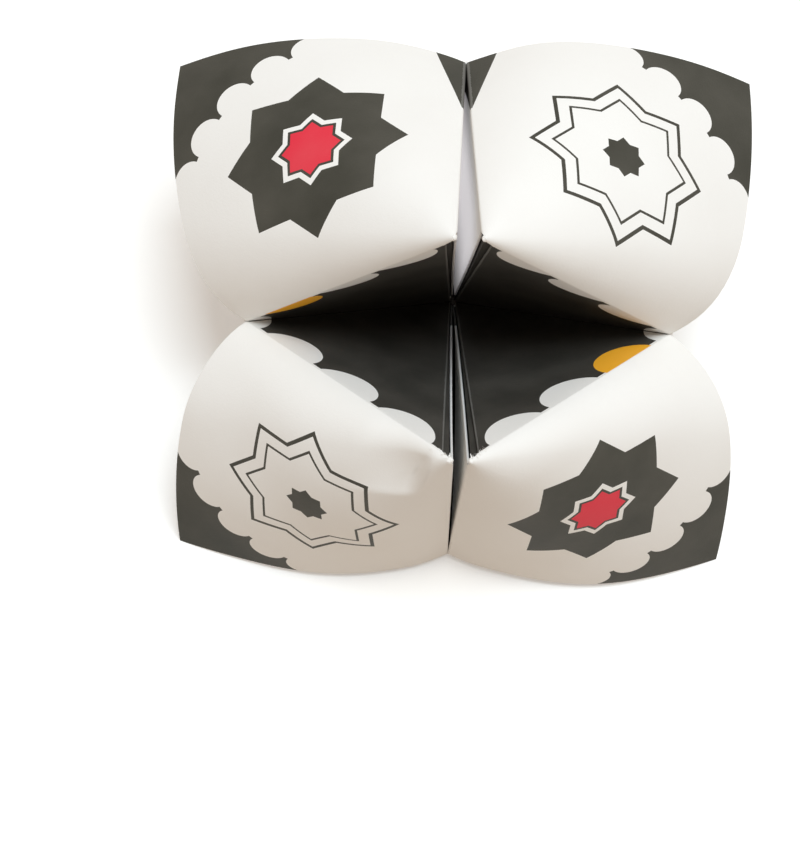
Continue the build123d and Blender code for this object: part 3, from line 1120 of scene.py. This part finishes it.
# The roughness of the printed side, what clouds add to it and what ink takes away
PRINT_ROUGHNESS, CLOUD_ROUGHNESS, INK_SMOOTHNESS = 0.68, 0.06, 0.1


def printed_paper_and_painted_light(settings):
    """The printed side: ink on paper, worn off along the folds, with painted shade in the lower
    seam slot and by the ridge, and a painted glow in the upper right seam flap.
    """
    material, shader, grain, flat = paper_base("printed_paper_and_painted_light")
    pattern = placed(flat.tree, print_and_painted_shade_group(settings), {"Place": flat})
    # The print's ink mask, which also holds the painted shade in the lower seam slot and by the
    # ridge
    ink = pattern["Ink"]
    worn = fold_wear(flat, grain["Fibres"])
    colour_now = mix_colour(worn, pattern["Colour"], settings.paper_colour)
    roughness = ink * worn.opposite() * -INK_SMOOTHNESS + PRINT_ROUGHNESS
    feed(shader, {
        "Base Color": tinted(colour_now, grain["Clouds"], 0.12),
        # Painted light: the upper right seam flap glows as if lit by light bounced into the seam
        "Emission Color": painted_seam_glow(flat, ink),
        "Emission Strength": GLOW_STRENGTH,
        "Roughness": roughness + grain["Clouds"] * CLOUD_ROUGHNESS,
        "Specular IOR Level": 0.25,
        "Normal": grain_normal(grain["Height"]),
    })
    return material


# Where the painted shade behind two flaps' raw edges starts, in legs from the tip
PAINTED_SLIT_SHADE_START = 0.985


def plain_paper_and_painted_shade(settings):
    """The side with no print, with charcoal painted behind the slit between two flaps' raw edges as
    the slit's shade.
    """
    material, shader, grain, flat = paper_base("plain_paper_and_painted_shade")
    first, second, _, _ = flat_place(flat)
    painted_slit_shade = (first.least(second) < -PAINTED_SLIT_SHADE_START) * (first.most(second) > FOLD_MARGIN)
    colour_now = tinted(settings.paper_colour, grain["Clouds"], 0.14)
    feed(shader, {
        # Painted shade: charcoal where the slit between two flaps' raw edges is in shade
        "Base Color": mix_colour(painted_slit_shade, colour_now, settings.charcoal),
        "Roughness": 0.7,
        "Specular IOR Level": 0.3,
        "Normal": grain_normal(grain["Height"]),
    })
    return material


# How much of the print a raw edge takes up, and how much more in the fibres
EDGE_SOAKED, FIBRE_SOAKED = 0.72, 0.3


def cut_edge(settings):
    """The raw edge of the sheet, a little darker than its faces and soaked with the print."""
    material, shader, grain, flat = paper_base("cut_edge")
    pattern = placed(flat.tree, print_and_painted_shade_group(settings), {"Place": flat})
    soaked = grain["Fibres"] * FIBRE_SOAKED + EDGE_SOAKED
    colour_now = mix_colour(soaked, settings.paper_colour, pattern["Colour"])
    colour_now = tinted(colour_now, grain["Fibres"], 0.3)
    feed(shader, {"Base Color": colour_now, "Roughness": 0.85})
    return material


def torn_paper(settings):
    """The fibres of torn paper, bare and matt."""
    material, shader, grain, _ = paper_base("torn_paper")
    colour_now = tinted(settings.paper_colour, grain["Fibres"], 0.2)
    feed(shader, {"Base Color": colour_now, "Roughness": 0.9, "Specular IOR Level": 0.1})
    return material


# The strength of the floor's glow by the object, and between which ways from it this grows to 1
FLOOR_GLOW = 0.2
FLOOR_GLOW_RISE = (0.16, 0.6)


def floor_material(settings):
    """A plain pale floor that looks near white to the camera and still takes a shadow.

    The camera sees it with a faint glow, which is full far from the object. The light that it
    throws back is a little warm.
    """
    material = bpy.data.materials.new("pale_floor")
    material.use_nodes = True
    tree = material.node_tree
    shader = tree.nodes["Principled BSDF"]
    rays = outputs_of(tree.nodes.new("ShaderNodeLightPath"))
    seen = rays["Is Camera Ray"].most(rays["Is Glossy Ray"]).most(rays["Is Transmission Ray"])
    colour_now = mix_colour(seen, settings.floor_bounce, settings.floor_colour)
    feed(shader, {"Base Color": colour_now, "Roughness": 0.9, "Specular IOR Level": 0.1})
    distance = tree.nodes.new("ShaderNodeVectorMath")
    distance.operation = "LENGTH"
    feed(distance, {0: tree.nodes.new("ShaderNodeTexCoord").outputs["Object"]})
    far = Value(distance.outputs["Value"]).ramp(*FLOOR_GLOW_RISE)
    glow = tree.nodes.new("ShaderNodeEmission")
    feed(glow, {"Strength": seen * (far * (1 - FLOOR_GLOW) + FLOOR_GLOW)})
    total = tree.nodes.new("ShaderNodeAddShader")
    feed(total, {0: shader.outputs[0], 1: glow.outputs[0]})
    feed(tree.nodes["Material Output"], {"Surface": total.outputs[0]})
    return material


def add_floor(settings):
    """A flat square floor under the object."""
    reach = settings.floor_reach
    mesh = bpy.data.meshes.new("floor")
    corners = [(-reach, -reach, 0), (reach, -reach, 0), (reach, reach, 0), (-reach, reach, 0)]
    mesh.from_pydata(corners, [], [(0, 1, 2, 3)])
    mesh.materials.append(floor_material(settings))
    floor = added("floor", mesh)


def add_lamp(settings):
    """A square soft lamp that faces its target."""
    data = bpy.data.lights.new("soft_lamp", "AREA")
    data.size = settings.lamp_size
    data.energy = settings.lamp_power
    data.color = settings.lamp_colour
    lamp = added("soft_lamp", data)
    aim = Vector(settings.lamp_target) - Vector(settings.lamp_place)
    lamp.location = settings.lamp_place
    lamp.rotation_mode = "QUATERNION"
    lamp.rotation_quaternion = aim.to_track_quat("-Z", "Y")


def add_sky(settings):
    """Even light from all round, behind which the camera sees white."""
    world = bpy.data.worlds.new("even_sky")
    world.use_nodes = True
    tree = world.node_tree
    sky = tree.nodes["Background"]
    feed(sky, {"Color": settings.sky_colour, "Strength": settings.sky_strength})
    backdrop = tree.nodes.new("ShaderNodeBackground")
    feed(backdrop, {"Color": (1, 1, 1)})
    seen = tree.nodes.new("ShaderNodeLightPath").outputs["Is Camera Ray"]
    chosen = tree.nodes.new("ShaderNodeMixShader")
    feed(chosen, {0: seen, 1: sky.outputs[0], 2: backdrop.outputs[0]})
    feed(tree.nodes["World Output"], {"Surface": chosen.outputs[0]})
    bpy.context.scene.world = world


def add_camera(settings):
    """The camera where the picture was taken from."""
    data = bpy.data.cameras.new("camera")
    data.lens = settings.camera_lens
    data.sensor_width = 36
    data.clip_start = 0.01
    camera = added("camera", data)
    camera.location = settings.camera_place
    camera.rotation_euler = settings.camera_turn
    bpy.context.scene.camera = camera


class SHEET_OT_stage(bpy.types.Operator):
    """Set up the floor, the lamp, the sky and the camera"""

    bl_idname = "folded_paper.set_stage"
    bl_label = "Set the stage"

    def execute(self, context):
        for add_part in (add_floor, add_lamp, add_sky, add_camera):
            add_part(context.scene.stage_settings)
        context.scene.view_settings.view_transform = "Standard"
        return {"FINISHED"}


class SHEET_PT_panel(bpy.types.Panel):
    """The steps that build the fortune teller, and its settings"""

    bl_idname = "SHEET_PT_panel"
    bl_label = "Paper Fortune Teller"
    bl_space_type = "VIEW_3D"
    bl_region_type = "UI"
    bl_category = "Folded Paper"

    def draw(self, context):
        for name in SETTINGS:
            settings = getattr(context.scene, name)
            column = self.layout.column(align=True)
            for field in settings.bl_rna.properties:
                if field.identifier not in ("rna_type", "name"):
                    column.prop(settings, field.identifier)
        for operator in OPERATORS:
            self.layout.operator(operator.bl_idname)


SETTINGS = {
    "fold_settings": FoldSettings,
    "print_settings": PrintSettings,
    "wear_settings": WearSettings,
    "stage_settings": StageSettings,
}
OPERATORS = (SHEET_OT_fold, SHEET_OT_fray, SHEET_OT_stage)
CLASSES = (*SETTINGS.values(), *OPERATORS, SHEET_PT_panel)


def register():
    """Registers the classes and hangs the settings on the scene."""
    for each in CLASSES:
        bpy.utils.register_class(each)
    for name, each in SETTINGS.items():
        setattr(bpy.types.Scene, name, PointerProperty(type=each))


def unregister():
    """Takes the settings and the classes away again."""
    for name in SETTINGS:
        delattr(bpy.types.Scene, name)
    for each in reversed(CLASSES):
        bpy.utils.unregister_class(each)


def main():
    """Builds the object and its stage."""
    register()
    bpy.ops.folded_paper.fold_sheet()
    bpy.ops.folded_paper.fray_tips()
    bpy.ops.folded_paper.set_stage()


if __name__ == "__main__":
    main()
